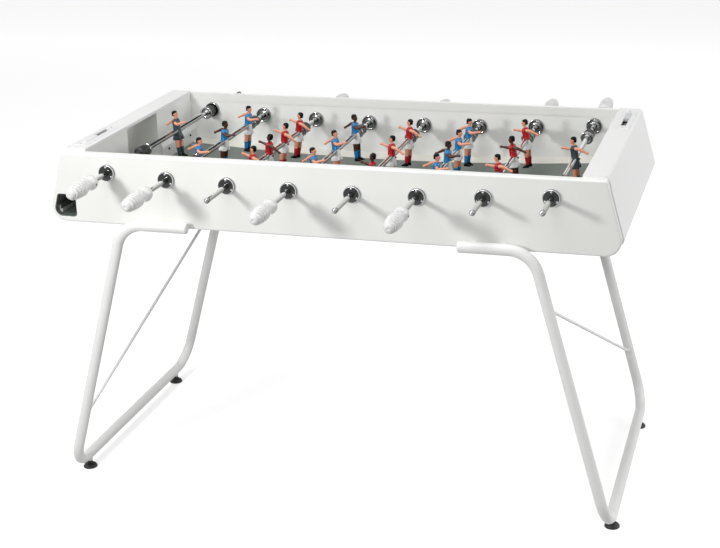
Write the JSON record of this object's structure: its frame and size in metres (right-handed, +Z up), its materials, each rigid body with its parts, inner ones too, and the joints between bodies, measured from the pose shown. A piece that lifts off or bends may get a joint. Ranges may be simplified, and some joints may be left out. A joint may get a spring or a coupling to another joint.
{
  "type": "foosball table",
  "caption": "Home foosball table with a dished playfield, sliding and turning rods of players, ball return openings, score sliders and bent tube legs.",
  "frame": {"origin": "on the floor, under the middle of the cabinet; as the rods stand, the bounding box's middle lies about 10 mm towards +Y", "axes": "+X along the table's length, +Y from the front side to the back, +Z up"},
  "size_m": [1.4618, 1.269, 0.914],
  "materials": {
    "panel_white": "smooth white lacquer on board",
    "wall_white": "glossy white laminate",
    "sheet_white": "satin white powder coat on steel sheet",
    "field_green": "matt grey green lacquer with white lines",
    "ramp_cream": "matt cream plastic",
    "block_white": "satin white moulding",
    "board": "white faced board",
    "channel_grey": "grey plastic",
    "counter_white": "white moulding with a dark printed strip",
    "slider_white": "white moulding",
    "slider_grey": "light grey moulding",
    "bushing_black": "polished black moulding",
    "ring_chrome": "chromed ring",
    "nylon": "dark nylon",
    "rod_chrome": "chromed steel",
    "handle_white": "white moulding",
    "players_blue": "painted moulding, blue shirt",
    "players_red": "painted moulding, red shirt",
    "players_grey": "painted moulding, dark grey kit",
    "leg_white": "white powder coat on steel tube",
    "brace_steel": "white powder coat on steel bar",
    "bolt_steel": "zinc plated steel",
    "cap_white": "white plastic",
    "foot_black": "black rubber on a steel stem"
  },
  "bodies": {
    "table": {"side_panel_front": "panel_white", "side_panel_back": "panel_white", "inner_walls": "wall_white", "end_cabinet_left": "sheet_white", "end_cabinet_right": "sheet_white", "end_walls": "wall_white", "goal_pockets": "sheet_white", "rebound_blocks": "block_white", "playfield": "field_green", "side_ramps": "ramp_cream", "bottom_panel": "board", "field_battens": "board", "ball_channels": "channel_grey", "score_counters": "counter_white", "bushings": "bushing_black", "bushing_rings": "ring_chrome", "leg_loop_left": "leg_white", "leg_loop_right": "leg_white", "brace_left": "brace_steel", "brace_right": "brace_steel", "leg_bolts": "bolt_steel", "tube_caps": "cap_white"},
    "bearing_1": {"sleeves_1": "nylon"},
    "rod_assembly_1": {"rod_1": "rod_chrome", "handle_1": "handle_white", "players_1": "players_grey"},
    "bearing_2": {"sleeves_2": "nylon"},
    "rod_assembly_2": {"rod_2": "rod_chrome", "handle_2": "handle_white", "players_2": "players_blue"},
    "bearing_3": {"sleeves_3": "nylon"},
    "rod_assembly_3": {"rod_3": "rod_chrome", "handle_3": "handle_white", "players_3": "players_red"},
    "bearing_4": {"sleeves_4": "nylon"},
    "rod_assembly_4": {"rod_4": "rod_chrome", "handle_4": "handle_white", "players_4": "players_blue"},
    "bearing_5": {"sleeves_5": "nylon"},
    "rod_assembly_5": {"rod_5": "rod_chrome", "handle_5": "handle_white", "players_5": "players_red"},
    "bearing_6": {"sleeves_6": "nylon"},
    "rod_assembly_6": {"rod_6": "rod_chrome", "handle_6": "handle_white", "players_6": "players_blue"},
    "bearing_7": {"sleeves_7": "nylon"},
    "rod_assembly_7": {"rod_7": "rod_chrome", "handle_7": "handle_white", "players_7": "players_red"},
    "bearing_8": {"sleeves_8": "nylon"},
    "rod_assembly_8": {"rod_8": "rod_chrome", "handle_8": "handle_white", "players_8": "players_grey"},
    "score_slider_left": {"score_slider_left": "slider_white"},
    "score_slider_right": {"score_slider_right": "slider_grey"},
    "foot_front_left": {"foot_front_left": "foot_black"},
    "foot_front_right": {"foot_front_right": "foot_black"},
    "foot_back_left": {"foot_back_left": "foot_black"},
    "foot_back_right": {"foot_back_right": "foot_black"}
  },
  "joints": [
    {"name": "rod_1_spin", "type": "hinge", "parent": "table", "child": "bearing_1", "pos_m": [-0.55454, 0, 0.8577], "axis": [0, 1, 0], "continuous": true},
    {"name": "rod_1_slide", "type": "slide", "parent": "bearing_1", "child": "rod_assembly_1", "axis": [0, 1, 0], "range_m": [-0.1624, 0.0004]},
    {"name": "rod_2_spin", "type": "hinge", "parent": "table", "child": "bearing_2", "pos_m": [-0.3961, 0, 0.84839], "axis": [0, 1, 0], "continuous": true},
    {"name": "rod_2_slide", "type": "slide", "parent": "bearing_2", "child": "rod_assembly_2", "axis": [0, 1, 0], "range_m": [-0.1224, 0.0644]},
    {"name": "rod_3_spin", "type": "hinge", "parent": "table", "child": "bearing_3", "pos_m": [-0.23766, 0, 0.84219], "axis": [0, 1, 0], "continuous": true},
    {"name": "rod_3_slide", "type": "slide", "parent": "bearing_3", "child": "rod_assembly_3", "axis": [0, 1, 0], "range_m": [-0.0899, 0.0899]},
    {"name": "rod_4_spin", "type": "hinge", "parent": "table", "child": "bearing_4", "pos_m": [-0.07922, 0, 0.83909], "axis": [0, 1, 0], "continuous": true},
    {"name": "rod_4_slide", "type": "slide", "parent": "bearing_4", "child": "rod_assembly_4", "axis": [0, 1, 0], "range_m": [-0.1134, 0.0734]},
    {"name": "rod_5_spin", "type": "hinge", "parent": "table", "child": "bearing_5", "pos_m": [0.07922, 0, 0.83909], "axis": [0, 1, 0], "continuous": true},
    {"name": "rod_5_slide", "type": "slide", "parent": "bearing_5", "child": "rod_assembly_5", "axis": [0, 1, 0], "range_m": [-0.0864, 0.1004]},
    {"name": "rod_6_spin", "type": "hinge", "parent": "table", "child": "bearing_6", "pos_m": [0.23766, 0, 0.84219], "axis": [0, 1, 0], "continuous": true},
    {"name": "rod_6_slide", "type": "slide", "parent": "bearing_6", "child": "rod_assembly_6", "axis": [0, 1, 0], "range_m": [-0.1019, 0.0779]},
    {"name": "rod_7_spin", "type": "hinge", "parent": "table", "child": "bearing_7", "pos_m": [0.3961, 0, 0.84839], "axis": [0, 1, 0], "continuous": true},
    {"name": "rod_7_slide", "type": "slide", "parent": "bearing_7", "child": "rod_assembly_7", "axis": [0, 1, 0], "range_m": [-0.1024, 0.0844]},
    {"name": "rod_8_spin", "type": "hinge", "parent": "table", "child": "bearing_8", "pos_m": [0.55454, 0, 0.8577], "axis": [0, 1, 0], "continuous": true},
    {"name": "rod_8_slide", "type": "slide", "parent": "bearing_8", "child": "rod_assembly_8", "axis": [0, 1, 0], "range_m": [-0.0734, 0.0894]},
    {"name": "score_slider_left_slide", "type": "slide", "parent": "table", "child": "score_slider_left", "axis": [0, 1, 0], "range_m": [0, 0.073]},
    {"name": "score_slider_right_slide", "type": "slide", "parent": "table", "child": "score_slider_right", "axis": [0, -1, 0], "range_m": [0, 0.073]},
    {"name": "foot_front_left_screw", "type": "hinge", "parent": "table", "child": "foot_front_left", "pos_m": [-0.71, -0.2995, 0], "axis": [0, 0, 1], "continuous": true},
    {"name": "foot_front_right_screw", "type": "hinge", "parent": "table", "child": "foot_front_right", "pos_m": [0.71, -0.2995, 0], "axis": [0, 0, 1], "continuous": true},
    {"name": "foot_back_left_screw", "type": "hinge", "parent": "table", "child": "foot_back_left", "pos_m": [-0.71, 0.2995, 0], "axis": [0, 0, 1], "continuous": true},
    {"name": "foot_back_right_screw", "type": "hinge", "parent": "table", "child": "foot_back_right", "pos_m": [0.71, 0.2995, 0], "axis": [0, 0, 1], "continuous": true}
  ]
}
